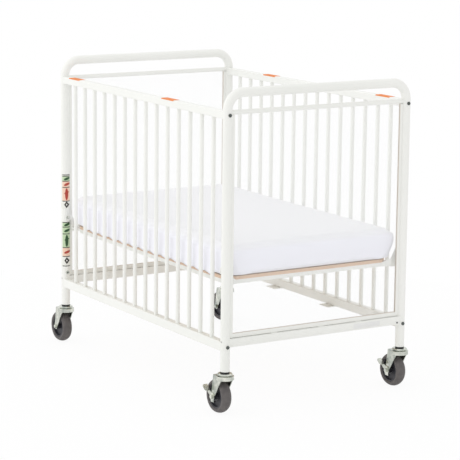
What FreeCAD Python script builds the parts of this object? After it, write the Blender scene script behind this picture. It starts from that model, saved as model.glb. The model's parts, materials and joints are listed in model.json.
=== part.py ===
import FreeCAD, Part
import math
import os

# Evacuation crib: two tubular ends with clear panels, two slatted sides, a mattress on a
# height-adjustable support, and four trailing casters. Millimetres, +Z up.
# +X is the near end (the braked casters), -Y the front side. The floor is Z = 0, and the
# origin lies on it, under the middle of the crib's overall box.

# Posts and handle hoops
post_span_x = 1016.0
post_span_y = 628.0
tube_diameter = 28.0
tube_wall = 1.8
handle_axis_height = 944.0
handle_bend_radius = 50.0
vent_hole_diameter = 5.0
vent_hole_height = 220.0

# Crossbar and clear panel in its channels
crossbar_diameter = 14.0
crossbar_drop = 56.0
channel_width = 8.5
channel_depth = 8.0
channel_wall = 1.2
channel_top_gap = 1.0
bottom_channel_height = 11.8
panel_thickness = 3.2
gasket_proud = 1.0
gasket_depth = 5.0

# Rail under the panel
end_rail_width = 25.0
end_rail_height = 25.0
end_rail_wall = 1.5
end_rail_bottom = 203.0
end_rail_lip_height = 12.5
end_rail_lip_inset = 3.0
weld_pad_height = 1.2
weld_pad_length = 20.0
weld_pad_shares = (-0.236, 0.029, 0.244)
label_plate_length = 96.0
label_plate_height = 16.0
label_plate_thickness = 0.5
label_plate_place_share = 0.287
set_screw_diameter = 5.0
set_screw_length = 1.5
set_screw_inset = 20.0

# Long side rails and slats
side_rail_width = 24.0
top_rail_height = 22.5
top_rail_drop = 51.5
bottom_rail_height = 27.5
bottom_rail_bottom = 191.0
side_rail_wall = 1.5
side_rail_corner_radius = 2.5
slat_diameter = 12.7
slat_end_inset = 75.1
slat_count = 14
rail_plug_length = 20.0
rail_plug_clearance = 0.1
rail_tab_length = 48.0
rail_tab_reach = 24.0
rail_tab_thickness = 2.5
rail_tab_seat = 16.0
rail_tab_place_shares = (-0.167, 0.143)
marker_length = 72.0
marker_thickness = 0.4
marker_fold = 2.4
front_marker_place_shares = (-0.412, 0.181)
rear_marker_place_shares = (-0.231, 0.397)

# Rail bolts through the posts
rail_bolt_diameter = 6.0
rail_bolt_head_diameter = 10.5
rail_bolt_head_height = 3.2
bolt_hole_clearance = 0.2

# Height inserts and labels on the posts
support_bolt_height = 427.0
lower_bolt_clearance = 22.5
insert_diameter = 9.0
insert_flange_diameter = 12.0
insert_flange_height = 0.8
insert_barrel_length = 3.0
insert_bore_diameter = 5.2
height_label_wrap_angle = 160.0
height_label_turn = -110.0
height_label_thickness = 0.4
height_label_glue = 0.1
upper_label_rise = 28.0
upper_label_height = 115.0
lower_label_rise = 20.5
lower_label_top_gap = 16.0

# Mattress support: angles, corner brackets, board
running_gap = 0.3
angle_leg = 25.0
angle_drop = 12.0
angle_thickness = 2.5
support_end_gap = 11.9
support_side_gap = 9.7
corner_clip = 31.0
board_thickness = 13.0
board_screw_diameter = 5.0
board_screw_head_diameter = 10.0
board_screw_head_height = 1.5
board_screw_nut_diameter = 9.0
board_screw_nut_height = 4.0
board_screw_overhang = 3.0
end_screw_shares = (-0.358, 0.0, 0.358)
side_screw_shares = (-0.31, 0.0, 0.31)
corner_screw_inset_x = 27.0
corner_screw_inset_y = 32.0
hanger_thickness = 3.0
hanger_width = 17.0
hanger_bolt_rise = 34.5
hanger_drop = 47.0
ear_height = 19.0
ear_edge = 9.0
hanger_bolt_diameter = 6.0
hanger_bolt_head_diameter = 11.0
hanger_bolt_head_height = 4.5
hanger_hole_clearance = 0.4

# Mattress in its fitted sheet
mattress_end_gap = 10.75
mattress_front_gap = 11.0
mattress_rear_gap = 6.3
mattress_thickness = 89.5
mattress_crown = 3.5
mattress_corner_radius = 32.0
mattress_level_shares = (0.0, 0.1, 0.45, 0.85, 0.97, 1.0)
mattress_inset_shares = (0.1, 0.025, 0.0, 0.02, 0.08, 0.2)
mattress_crown_inset = 130.0

# Casters
wheel_diameter = 101.6
tread_width = 31.8
tread_shoulder_drop = 6.5
tread_flank_bevel = 2.4
caster_offset = 32.0
tread_thickness = 14.3
hub_width = 27.0
hub_rim_thickness = 4.5
hub_web_width = 15.0
hub_boss_radius = 9.0
axle_diameter = 8.0
axle_clearance = 0.08
axle_head_diameter = 13.0
axle_head_height = 4.5
hexagon_sides = 6
fork_gap_side = 3.1
fork_leg_thickness = 2.5
fork_boss_radius = 9.5
fork_crown_radius = 27.0
crown_wheel_gap = 5.4
fork_crown_height = 11.5
fork_crown_wall = 3.0
fork_cup_wall = 3.5
fork_back_reach = 30.0
fork_front_reach = 12.0
fork_edge_round = 1.2
boss_side_gap = 0.8
top_plate_radius = 23.0
top_plate_thickness = 7.2
top_plate_edge_height = 2.2
top_plate_neck_radius = 17.0
top_plate_neck_height = 3.4
socket_flange_radius = 13.5
socket_flange_height = 5.0
socket_length = 48.0
socket_clearance = 0.1
stem_diameter = 11.0
stem_length = 42.0
kingpin_foot_radius = 9.0
kingpin_foot_height = 3.6

# Brake lever on the near-end casters, in the wheel's own plane
lever_thickness = 2.5
lever_gap = 0.3
lever_boss_radius = 12.0
lever_arm_reach = 44.0
lever_arm_width = 13.0
lever_arm_rise = 37.0
paddle_start = 20.0
paddle_width = 15.0
paddle_round = 7.0
lobe_drop = 16.0
lobe_back = 10.0
lobe_front = 10.0
lobe_tip_share = 0.6
shoe_reach = 6.5
shoe_thickness = 2.5

# Cuts overrun by this much; edges are picked within these tolerances
overrun = 2.0
coincident = 0.01
parallel_share = 0.99

V = FreeCAD.Vector
AXIS_X = V(1, 0, 0)
AXIS_Y = V(0, 1, 0)
AXIS_Z = V(0, 0, 1)
ENDS = {"near": 1, "far": -1}
SIDES = {"front": -1, "rear": 1}

tube_radius = tube_diameter / 2
post_x = post_span_x / 2
post_y = post_span_y / 2
wheel_radius = wheel_diameter / 2
hub_radius = wheel_radius - tread_thickness
fork_crown_top = wheel_diameter + crown_wheel_gap + fork_crown_height
caster_top = fork_crown_top + running_gap + top_plate_thickness
post_foot_height = caster_top + socket_flange_height
crossbar_height = handle_axis_height - crossbar_drop
top_rail_top = handle_axis_height - top_rail_drop
top_rail_bottom = top_rail_top - top_rail_height
bottom_rail_top = bottom_rail_bottom + bottom_rail_height
top_rail_middle = top_rail_bottom + top_rail_height / 2
bottom_rail_middle = bottom_rail_bottom + bottom_rail_height / 2
end_rail_top = end_rail_bottom + end_rail_height
panel_channel_foot = end_rail_top + weld_pad_height
panel_channel_lip = panel_channel_foot + bottom_channel_height
panel_channel_top = crossbar_height - crossbar_diameter / 2 - channel_top_gap
slat_pitch = (post_span_x - 2 * slat_end_inset) / (slat_count - 1)
lower_bolt_height = bottom_rail_top + lower_bolt_clearance
insert_heights = (support_bolt_height, lower_bolt_height)
upper_label_bottom = support_bolt_height + upper_label_rise
lower_label_bottom = lower_bolt_height + lower_label_rise
lower_label_height = support_bolt_height - lower_label_top_gap - lower_label_bottom
hanger_back = post_x - tube_radius - insert_flange_height - running_gap - hanger_thickness
channel_reach = post_y - side_rail_width / 2 - running_gap
hanger_outer_y = channel_reach
hanger_inner_y = hanger_outer_y - hanger_width
support_top = support_bolt_height - hanger_bolt_rise
board_top = support_top + board_thickness
support_half_x = hanger_back - support_end_gap
support_half_y = hanger_outer_y - support_side_gap
clip_x = support_half_x - corner_clip
clip_y = support_half_y - corner_clip
mattress_half_x = post_x - channel_width / 2 - mattress_end_gap
mattress_front = -post_y + slat_diameter / 2 + mattress_front_gap
mattress_rear = post_y - slat_diameter / 2 - mattress_rear_gap
mattress_half_y = (mattress_rear - mattress_front) / 2
mattress_middle_y = (mattress_rear + mattress_front) / 2
leg_inner = tread_width / 2 + fork_gap_side
leg_outer = leg_inner + fork_leg_thickness
lever_inner = leg_outer + lever_gap
lever_outer = lever_inner + lever_thickness

# The casters trail towards -X and the levers stand out towards -Y, so the middle of the
# overall box lies a little off the middle of the posts.
reach_near = post_x + fork_crown_radius
reach_far = post_x + caster_offset + wheel_radius
reach_front = post_y + lever_outer + paddle_width
reach_rear = post_y + max(fork_crown_radius, leg_outer + axle_head_height)
box_middle = V((reach_near - reach_far) / 2, (reach_rear - reach_front) / 2, 0)


def box(x0, x1, y0, y1, z0, z1):
    """Block between two corners given as low and high values."""
    return Part.makeBox(x1 - x0, y1 - y0, z1 - z0, V(x0, y0, z0))


def rod(start, direction, radius, length):
    return Part.makeCylinder(radius, length, start, direction)


def prism(points, thickness):
    """Polygon through the points, pushed along the thickness vector."""
    return Part.Face(Part.makePolygon(points + [points[0]])).extrude(thickness)


def edges_along(shape, direction):
    """Straight edges that run along a direction."""
    straight = [edge for edge in shape.Edges if edge.Curve.TypeId == "Part::GeomLine"]
    return [edge for edge in straight if abs(edge.Curve.Direction.dot(direction)) > parallel_share]


def edges_level_with(shape, z):
    """Edges whose middle lies at one height."""
    return [edge for edge in shape.Edges if abs(edge.CenterOfMass.z - z) < coincident]


def group(shapes):
    return Part.makeCompound(shapes)


def export(name, shape):
    moved = shape.copy()
    moved.translate(box_middle * -1)
    moved.exportStep("parts/" + name + ".step")


def bent_bar(x, radius):
    """Round bar bent into a hoop: up a post, over the handle and down the other post."""
    low = handle_axis_height - handle_bend_radius
    in_y = post_y - handle_bend_radius
    handle = rod(V(x, -in_y, handle_axis_height), AXIS_Y, radius, 2 * in_y)
    pieces = [handle]
    for side in SIDES.values():
        foot = V(x, side * post_y, post_foot_height)
        pieces.append(rod(foot, AXIS_Z, radius, low - post_foot_height))
        ring = Part.Edge(Part.Circle(V(x, side * post_y, low), AXIS_Z, radius))
        disc = Part.Face(Part.Wire([ring]))
        pieces.append(disc.revolve(V(x, side * in_y, low), AXIS_X * side, 90))
    return pieces[0].multiFuse(pieces[1:]).removeSplitter()


hoop_outside = {end: bent_bar(end * post_x, tube_radius) for end in ENDS.values()}


def rail_bolt_place(end, side, z):
    """Point on the post's axis where a rail bolt crosses it."""
    return V(end * post_x, side * post_y, z)


def hoop(end):
    """Bent tube with its bolt holes, insert holes and vent holes."""
    x = end * post_x
    shape = hoop_outside[end].cut(bent_bar(x, tube_radius - tube_wall))
    for side in SIDES.values():
        for z in (top_rail_middle, bottom_rail_middle):
            place = rail_bolt_place(end, side, z) - V(tube_diameter, 0, 0)
            radius = rail_bolt_diameter / 2 + bolt_hole_clearance / 2
            shape = shape.cut(rod(place, AXIS_X, radius, 2 * tube_diameter))
        for z in insert_heights:
            place = V(x, side * post_y, z)
            shape = shape.cut(rod(place, AXIS_X * -end, insert_diameter / 2, tube_diameter))
        place = V(x, side * post_y, vent_hole_height)
        shape = shape.cut(rod(place, AXIS_Y * side, vent_hole_diameter / 2, tube_diameter))
    return shape


def crossbar(end):
    """Thin rod under the handle, coped to the posts."""
    x = end * post_x
    bar = rod(V(x, -post_y, crossbar_height), AXIS_Y, crossbar_diameter / 2, post_span_y)
    return bar.cut(hoop_outside[end])


def upright_channels(end):
    """Pair of U channels, mouths facing each other, let in round the posts they are welded to."""
    x = end * post_x
    half = channel_width / 2
    shapes = []
    for side in SIDES.values():
        back = side * (post_y - tube_radius)
        lip = back - side * channel_depth
        floor = back - side * channel_wall
        reach = side * channel_reach
        outside = box(x - half, x + half, min(reach, lip), max(reach, lip),
                      panel_channel_lip, panel_channel_top)
        inside = box(x - half + channel_wall, x + half - channel_wall,
                     min(floor, lip - side * overrun), max(floor, lip - side * overrun),
                     panel_channel_lip - overrun, panel_channel_top + overrun)
        shapes.append(outside.cut(inside).cut(hoop_outside[end]))
    return group(shapes)


def bottom_channel(end):
    """U channel along the panel's lower edge, on three weld pads."""
    x = end * post_x
    half = channel_width / 2
    shape = box(x - half, x + half, -channel_reach, channel_reach,
                panel_channel_foot, panel_channel_lip)
    inside = post_y - tube_radius - channel_wall
    shape = shape.cut(box(x - half + channel_wall, x + half - channel_wall, -inside, inside,
                          panel_channel_foot + channel_wall, panel_channel_lip + overrun))
    shape = shape.cut(hoop_outside[end])
    for share in weld_pad_shares:
        y = share * post_span_y
        pad = box(x - half, x + half, y - weld_pad_length / 2, y + weld_pad_length / 2,
                  end_rail_top, panel_channel_foot)
        shape = shape.fuse(pad)
    return shape.removeSplitter()


def panel_limits():
    """Half width, foot and top of the clear panel."""
    half = post_y - tube_radius - channel_wall - gasket_depth / 2
    foot = panel_channel_foot + channel_wall + gasket_depth / 2
    return half, foot, panel_channel_top


def clear_panel(end):
    x = end * post_x
    half, foot, top = panel_limits()
    return box(x - panel_thickness / 2, x + panel_thickness / 2, -half, half, foot, top)


def gasket(end):
    """Three-sided strip that fills the channels round the panel."""
    x = end * post_x
    half = channel_width / 2 - channel_wall
    outer = post_y - tube_radius - channel_wall
    inner = post_y - tube_radius - channel_depth - gasket_proud
    foot = panel_channel_foot + channel_wall
    lip = panel_channel_lip + gasket_proud
    shape = box(x - half, x + half, -outer, outer, foot, panel_channel_top)
    shape = shape.cut(box(x - half - overrun, x + half + overrun, -inner, inner,
                          lip, panel_channel_top + overrun))
    return shape.cut(clear_panel(end))


def end_rail_outline(x, end, y, grow):
    """Rail section seen along Y: upright face with its lower lip folded slightly in."""
    half = end_rail_width / 2 + grow
    fold = end_rail_bottom + end_rail_lip_height
    inset = half - end_rail_lip_inset
    low = end_rail_bottom - grow
    high = end_rail_top + grow
    outer = x + end * half
    return [V(x - end * half, y, low), V(x + end * inset, y, low), V(outer, y, fold),
            V(outer, y, high), V(x - end * half, y, high)]


def end_rail_bar(end):
    """Solid bar of the end rail's outside, post axis to post axis."""
    return prism(end_rail_outline(end * post_x, end, -post_y, 0), V(0, post_span_y, 0))


def end_rail(end):
    """Hollow rail between the posts, coped to them."""
    x = end * post_x
    shape = end_rail_bar(end)
    hollow = prism(end_rail_outline(x, end, -post_y, -end_rail_wall), V(0, post_span_y, 0))
    return shape.cut(hollow).cut(hoop_outside[end])


def label_plate():
    """Bare plate on the near rail, bent over the fold of its face."""
    x = post_x
    middle = label_plate_place_share * post_span_y
    start = middle - label_plate_length / 2
    outside = prism(end_rail_outline(x, 1, start, label_plate_thickness),
                    V(0, label_plate_length, 0))
    inside = prism(end_rail_outline(x, 1, start, 0), V(0, label_plate_length, 0))
    low = end_rail_bottom + (end_rail_height - label_plate_height) / 2
    window = box(x, x + end_rail_width, start, start + label_plate_length,
                 low, low + label_plate_height)
    return outside.cut(inside).common(window)


def set_screw():
    """Small black screw head on the near rail's folded lip, beside the rear post."""
    place = V(post_x + end_rail_width / 2 - end_rail_lip_inset / 2, post_y - set_screw_inset,
              end_rail_bottom + end_rail_lip_height / 2)
    out_of_lip = V(end_rail_lip_height, 0, -end_rail_lip_inset)
    return rod(place, out_of_lip, set_screw_diameter / 2, set_screw_length)


def rounded_bar(x0, x1, y, half, z0, z1, radius):
    """Bar along X with its four long edges rounded."""
    shape = box(x0, x1, y - half, y + half, z0, z1)
    return shape.makeFillet(radius, edges_along(shape, AXIS_X))


def side_rail(side, bottom, height):
    """Hollow rail with rounded long edges, coped to the posts at both ends."""
    y = side * post_y
    half = side_rail_width / 2
    shape = rounded_bar(-post_x, post_x, y, half, bottom, bottom + height,
                        side_rail_corner_radius)
    shape = shape.cut(box(-post_x - overrun, post_x + overrun,
                          y - half + side_rail_wall, y + half - side_rail_wall,
                          bottom + side_rail_wall, bottom + height - side_rail_wall))
    for end in ENDS.values():
        shape = shape.cut(hoop_outside[end]).cut(end_rail_bar(end))
    return shape


def slats(side):
    first = -slat_pitch * (slat_count - 1) / 2
    height = top_rail_bottom - bottom_rail_top
    shapes = []
    for index in range(slat_count):
        place = V(first + index * slat_pitch, side * post_y, bottom_rail_top)
        shapes.append(rod(place, AXIS_Z, slat_diameter / 2, height))
    return group(shapes)


def rail_plugs():
    """Threaded plugs that fill the rails' ends and take the rail bolts."""
    shapes = []
    for end in ENDS.values():
        for side in SIDES.values():
            for bottom, height in ((top_rail_bottom, top_rail_height),
                                   (bottom_rail_bottom, bottom_rail_height)):
                wall = side_rail_wall + rail_plug_clearance
                outer = end * (post_x - tube_radius)
                inner = outer - end * rail_plug_length
                y = side * post_y
                half = side_rail_width / 2 - wall
                plug = box(min(outer, inner), max(outer, inner), y - half, y + half,
                           bottom + wall, bottom + height - wall)
                place = rail_bolt_place(end, side, bottom + height / 2)
                bore = rod(place, AXIS_X * -end, rail_bolt_diameter / 2, post_x)
                shapes.append(plug.cut(bore))
    return group(shapes)


def rail_bolts():
    """Button-head bolts, each saddled on its post and run into a rail plug."""
    shapes = []
    for end in ENDS.values():
        for side in SIDES.values():
            for z in (top_rail_middle, bottom_rail_middle):
                axis = rail_bolt_place(end, side, z)
                top = axis + V(end * (tube_radius + rail_bolt_head_height), 0, 0)
                head = rod(axis, AXIS_X * end, rail_bolt_head_diameter / 2,
                           tube_radius + rail_bolt_head_height)
                rim = [edge for edge in head.Edges
                       if abs(edge.CenterOfMass.x - top.x) < coincident]
                head = head.makeFillet(rail_bolt_head_height / 2, rim)
                head = head.cut(hoop_outside[end])
                seat = axis + V(end * tube_radius, 0, 0)
                reach = tube_diameter + rail_plug_length
                shank = rod(seat, AXIS_X * -end, rail_bolt_diameter / 2, reach)
                shapes.append(head.fuse(shank))
    return group(shapes)


def rail_tabs(side):
    """Flat tabs welded under a bottom rail, pointing inwards."""
    shapes = []
    inner = side * (post_y - side_rail_width / 2 - rail_tab_reach)
    outer = side * (post_y - side_rail_width / 2 + rail_tab_seat)
    for share in rail_tab_place_shares:
        x = share * post_span_x
        tab = box(x - rail_tab_length / 2, x + rail_tab_length / 2,
                  min(inner, outer), max(inner, outer),
                  bottom_rail_bottom - rail_tab_thickness, bottom_rail_bottom)
        shapes.append(tab)
    return group(shapes)


def marker_strips():
    """Plain orange strips over the top rails, folded a little way down both faces."""
    shapes = []
    half = side_rail_width / 2
    grown = half + marker_thickness
    peak = top_rail_top + marker_thickness
    for side, shares in ((SIDES["front"], front_marker_place_shares),
                         (SIDES["rear"], rear_marker_place_shares)):
        y = side * post_y
        for share in shares:
            start = share * post_span_x - marker_length / 2
            finish = start + marker_length
            rail = rounded_bar(start - overrun, finish + overrun, y, half,
                               top_rail_bottom, top_rail_top, side_rail_corner_radius)
            strip = rounded_bar(start, finish, y, grown, top_rail_bottom, peak,
                                side_rail_corner_radius + marker_thickness)
            window = box(start, finish, y - grown, y + grown, top_rail_top - marker_fold, peak)
            shapes.append(strip.cut(rail).common(window))
    return group(shapes)


def height_inserts():
    """Threaded inserts in the posts' inner faces, at the upper and the lower height."""
    shapes = []
    for end in ENDS.values():
        for side in SIDES.values():
            for z in insert_heights:
                mouth = V(end * (post_x - tube_radius - insert_flange_height), side * post_y, z)
                inwards = AXIS_X * end
                flange = rod(mouth, inwards, insert_flange_diameter / 2, tube_radius)
                flange = flange.cut(hoop_outside[end])
                barrel = rod(mouth, inwards, insert_diameter / 2, insert_barrel_length)
                bore = rod(mouth, inwards, insert_bore_diameter / 2, tube_radius)
                shapes.append(flange.fuse(barrel).cut(bore))
    return group(shapes)


def height_labels():
    """Two thin wraps round the far front post, above each bolt height."""
    shapes = []
    inner = tube_radius + height_label_glue
    turn = FreeCAD.Rotation(AXIS_Z, height_label_turn)
    for bottom, height in ((upper_label_bottom, upper_label_height),
                           (lower_label_bottom, lower_label_height)):
        wrap = Part.makeCylinder(inner + height_label_thickness, height, V(0, 0, 0),
                                 AXIS_Z, height_label_wrap_angle)
        wrap = wrap.cut(rod(V(0, 0, -overrun), AXIS_Z, inner, height + 2 * overrun))
        wrap.Placement = FreeCAD.Placement(V(-post_x, -post_y, bottom), turn)
        shapes.append(wrap)
    return group(shapes)


def caster_sockets():
    """Plastic sleeves in the post feet that hold the caster stems."""
    shapes = []
    for end in ENDS.values():
        for side in SIDES.values():
            foot = V(end * post_x, side * post_y, post_foot_height)
            sleeve_radius = tube_radius - tube_wall - socket_clearance
            sleeve = rod(foot, AXIS_Z, sleeve_radius, socket_length)
            flange = rod(foot, AXIS_Z * -1, socket_flange_radius, socket_flange_height)
            bore = rod(foot - V(0, 0, socket_flange_height), AXIS_Z, stem_diameter / 2,
                       socket_length + socket_flange_height)
            shapes.append(sleeve.fuse(flange).cut(bore))
    return group(shapes)


def board_screw_places():
    """Plan positions of the screws that hold the board on the angles."""
    places = []
    for sign_x in (-1, 1):
        x = sign_x * (support_half_x - angle_leg / 2)
        places += [V(x, 2 * share * support_half_y, 0) for share in end_screw_shares]
    for sign_y in (-1, 1):
        y = sign_y * (support_half_y - angle_leg / 2)
        places += [V(2 * share * support_half_x, y, 0) for share in side_screw_shares]
        for sign_x in (-1, 1):
            places.append(V(sign_x * (support_half_x - corner_screw_inset_x),
                            sign_y * (support_half_y - corner_screw_inset_y), 0))
    return places


def drill_board_screws(shape):
    radius = board_screw_diameter / 2 + bolt_hole_clearance / 2
    depth = board_thickness + angle_drop + 2 * overrun
    for place in board_screw_places():
        start = V(place.x, place.y, support_top - angle_drop - overrun)
        shape = shape.cut(rod(start, AXIS_Z, radius, depth))
    return shape


def end_angles():
    """Angle steel across the support's ends, one leg under the board, one hanging."""
    shapes = []
    for end in ENDS.values():
        outer = end * support_half_x
        flat_in = outer - end * angle_leg
        drop_in = outer - end * angle_thickness
        flat = box(min(outer, flat_in), max(outer, flat_in), -clip_y, clip_y,
                   support_top - angle_thickness, support_top)
        drop = box(min(outer, drop_in), max(outer, drop_in), -clip_y, clip_y,
                   support_top - angle_drop, support_top)
        shapes.append(drill_board_screws(flat.fuse(drop).removeSplitter()))
    return group(shapes)


def side_angles():
    """Angle steel along the support's long sides."""
    shapes = []
    for side in SIDES.values():
        outer = side * support_half_y
        flat_in = outer - side * angle_leg
        drop_in = outer - side * angle_thickness
        flat = box(-clip_x, clip_x, min(outer, flat_in), max(outer, flat_in),
                   support_top - angle_thickness, support_top)
        drop = box(-clip_x, clip_x, min(outer, drop_in), max(outer, drop_in),
                   support_top - angle_drop, support_top)
        shapes.append(drill_board_screws(flat.fuse(drop).removeSplitter()))
    return group(shapes)


def corner_bracket(end, side):
    """Gusset under the board's clipped corner, with a hanger plate and its bolt ear."""

    def corner(x, y, z):
        return V(end * x, side * y, z)

    low = support_top - angle_thickness
    web_end = hanger_back + hanger_thickness / 2
    gusset = prism([corner(support_half_x - angle_leg, clip_y, low),
                    corner(support_half_x, clip_y, low),
                    corner(hanger_back, hanger_inner_y, low),
                    corner(hanger_back, hanger_outer_y, low),
                    corner(support_half_x, hanger_outer_y, low),
                    corner(clip_x, support_half_y, low),
                    corner(clip_x, support_half_y - angle_leg, low)],
                   V(0, 0, angle_thickness))
    web = prism([corner(support_half_x, clip_y, support_top - angle_drop),
                 corner(web_end, hanger_inner_y, support_top - angle_drop),
                 corner(web_end, hanger_inner_y, board_top),
                 corner(support_half_x, clip_y, support_top)],
                corner(-angle_thickness, angle_thickness, 0))
    ear_low = support_bolt_height - ear_height / 2
    ear_high = support_bolt_height + ear_height / 2
    plate_foot = support_bolt_height - hanger_drop
    plate = prism([corner(hanger_back, hanger_inner_y, plate_foot),
                   corner(hanger_back, hanger_outer_y, plate_foot),
                   corner(hanger_back, hanger_outer_y, ear_low),
                   corner(hanger_back, post_y + ear_edge, ear_low),
                   corner(hanger_back, post_y + ear_edge, ear_high),
                   corner(hanger_back, hanger_outer_y, ear_high),
                   corner(hanger_back, hanger_inner_y, board_top)],
                  V(end * hanger_thickness, 0, 0))
    hole_radius = hanger_bolt_diameter / 2 + hanger_hole_clearance / 2
    hole = rod(corner(hanger_back - overrun, post_y, support_bolt_height), AXIS_X * end,
               hole_radius, hanger_thickness + 2 * overrun)
    shape = gusset.fuse(web).fuse(plate).removeSplitter().cut(hole)
    return drill_board_screws(shape)


def corner_brackets():
    return group([corner_bracket(end, side) for end in ENDS.values() for side in SIDES.values()])


def hanger_bolts():
    """Bolts through the hanger ears, on the inserts' axes."""
    shapes = []
    for end in ENDS.values():
        for side in SIDES.values():
            seat = V(end * hanger_back, side * post_y, support_bolt_height)
            head = rod(seat, AXIS_X * -end, hanger_bolt_head_diameter / 2,
                       hanger_bolt_head_height)
            shank = rod(seat, AXIS_X * end, hanger_bolt_diameter / 2, hanger_thickness)
            shapes.append(head.fuse(shank).removeSplitter())
    return group(shapes)


def support_board():
    """Board with clipped corners and sunk screw heads."""
    outline = []
    for sign_x, sign_y in ((1, 1), (-1, 1), (-1, -1), (1, -1)):
        pair = [V(sign_x * support_half_x, sign_y * clip_y, support_top),
                V(sign_x * clip_x, sign_y * support_half_y, support_top)]
        outline += pair if sign_x * sign_y > 0 else pair[::-1]
    shape = drill_board_screws(prism(outline, V(0, 0, board_thickness)))
    for place in board_screw_places():
        start = V(place.x, place.y, board_top - board_screw_head_height)
        shape = shape.cut(rod(start, AXIS_Z, board_screw_head_diameter / 2,
                              board_screw_head_height + overrun))
    return shape


def board_screws():
    """Flat-head screws down through board and angle, each with its nut."""
    shapes = []
    foot = support_top - angle_drop - board_screw_overhang
    nut_top = support_top - angle_thickness
    for place in board_screw_places():
        shank = rod(V(place.x, place.y, foot), AXIS_Z, board_screw_diameter / 2,
                    board_top - foot)
        head = rod(V(place.x, place.y, board_top - board_screw_head_height), AXIS_Z,
                   board_screw_head_diameter / 2, board_screw_head_height)
        nut = rod(V(place.x, place.y, nut_top - board_screw_nut_height), AXIS_Z,
                  board_screw_nut_diameter / 2, board_screw_nut_height)
        shapes.append(shank.fuse(head).fuse(nut).removeSplitter())
    return group(shapes)


def rounded_outline(half_x, half_y, radius, z):
    """Closed rectangle with arc corners, drawn counter-clockwise from the +X side."""
    diagonal = radius * (1 - math.sqrt(0.5))
    edges = []
    corners = ((1, 1), (-1, 1), (-1, -1), (1, -1))
    for index, (sign_x, sign_y) in enumerate(corners):
        along_y = V(sign_x * half_x, sign_y * (half_y - radius), z)
        along_x = V(sign_x * (half_x - radius), sign_y * half_y, z)
        middle = V(sign_x * (half_x - diagonal), sign_y * (half_y - diagonal), z)
        start, finish = (along_y, along_x) if sign_x * sign_y > 0 else (along_x, along_y)
        edges.append(Part.Arc(start, middle, finish).toShape())
        next_x, next_y = corners[(index + 1) % len(corners)]
        if next_x != sign_x:
            following = V(next_x * (half_x - radius), next_y * half_y, z)
        else:
            following = V(next_x * half_x, next_y * (half_y - radius), z)
        edges.append(Part.LineSegment(finish, following).toShape())
    return Part.Wire(edges)


def mattress():
    """Cushion with drawn-in sides, full at its waist and crowned on top."""
    foot = board_top + running_gap
    wires = []
    for level, inset_share in zip(mattress_level_shares, mattress_inset_shares):
        inset = inset_share * mattress_thickness
        wires.append(rounded_outline(mattress_half_x - inset, mattress_half_y - inset,
                                     mattress_corner_radius, foot + level * mattress_thickness))
    wires.append(rounded_outline(mattress_half_x - mattress_crown_inset,
                                 mattress_half_y - mattress_crown_inset,
                                 mattress_corner_radius,
                                 foot + mattress_thickness + mattress_crown))
    shape = Part.makeLoft(wires, True, True)
    shape.translate(V(0, mattress_middle_y, 0))
    return shape


def spun(profile, center):
    """Closed profile of (radius, across) points and arcs turned about a Y axis."""
    face = Part.Face(Part.Wire(profile))
    solid = face.revolve(V(0, 0, 0), AXIS_Y, 360)
    solid.translate(center)
    return solid


def profile_point(radius, across):
    return V(0, across, radius)


def profile_lines(points):
    """Closed chain of lines through (radius, across) pairs."""
    corners = [profile_point(radius, across) for radius, across in points]
    pairs = zip(corners, corners[1:] + corners[:1])
    return [Part.LineSegment(start, finish).toShape() for start, finish in pairs]


def wheel_center(end, side):
    return V(end * post_x - caster_offset, side * post_y, wheel_radius)


def hub(center):
    """Dished hub: boss round the axle, web, and a rim under the tread."""
    bore = axle_diameter / 2 + axle_clearance
    boss = leg_inner - boss_side_gap
    rim = hub_width / 2
    web = hub_web_width / 2
    rim_inner = hub_radius - hub_rim_thickness
    points = [(bore, -boss), (hub_boss_radius, -boss), (hub_boss_radius, -web),
              (rim_inner, -web), (rim_inner, -rim), (hub_radius, -rim),
              (hub_radius, rim), (rim_inner, rim), (rim_inner, web),
              (hub_boss_radius, web), (hub_boss_radius, boss), (bore, boss)]
    return spun(profile_lines(points), center)


def tread(center):
    """Rubber tyre with bevelled flanks and a rounded running face."""
    flank = tread_width / 2
    rim = hub_width / 2
    shoulder = wheel_radius - tread_shoulder_drop
    knee = hub_radius + tread_flank_bevel
    corners = [profile_point(shoulder, flank), profile_point(knee, flank),
               profile_point(hub_radius, rim), profile_point(hub_radius, -rim),
               profile_point(knee, -flank), profile_point(shoulder, -flank)]
    edges = [Part.LineSegment(a, b).toShape() for a, b in zip(corners, corners[1:])]
    crown = Part.Arc(corners[-1], profile_point(wheel_radius, 0), corners[0])
    return spun(edges + [crown.toShape()], center)


def hexagon(center, direction_y, across_corners, height):
    """Hexagonal bolt head or nut on a Y axis."""
    radius = across_corners / 2
    turns = [2 * math.pi * index / hexagon_sides for index in range(hexagon_sides)]
    points = [center + V(radius * math.cos(turn), 0, radius * math.sin(turn)) for turn in turns]
    return prism(points, V(0, direction_y * height, 0))


def axle(center, braked):
    """Axle bolt with its head on the front side and its nut on the rear side."""
    head_seat = lever_outer + lever_gap if braked else leg_outer
    length = head_seat + leg_outer
    shank = rod(center - V(0, head_seat, 0), AXIS_Y, axle_diameter / 2, length)
    head = hexagon(center - V(0, head_seat, 0), -1, axle_head_diameter, axle_head_height)
    nut = hexagon(center + V(0, leg_outer, 0), 1, axle_head_diameter, axle_head_height)
    return shank.fuse(head).fuse(nut).removeSplitter()


def fork_leg(swivel, center, inner, outer):
    """Side plate that tapers from the crown down to a round boss at the axle."""
    top = fork_crown_top
    foot = center.z
    points = [V(swivel.x - fork_back_reach, inner, top), V(swivel.x + fork_front_reach, inner, top),
              V(swivel.x + fork_front_reach, inner, top - fork_crown_height),
              V(center.x + fork_boss_radius, inner, foot),
              V(center.x - fork_boss_radius, inner, foot)]
    plate = prism(points, V(0, outer - inner, 0))
    boss = rod(V(center.x, inner, foot), AXIS_Y, fork_boss_radius, outer - inner)
    return plate.fuse(boss)


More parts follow.
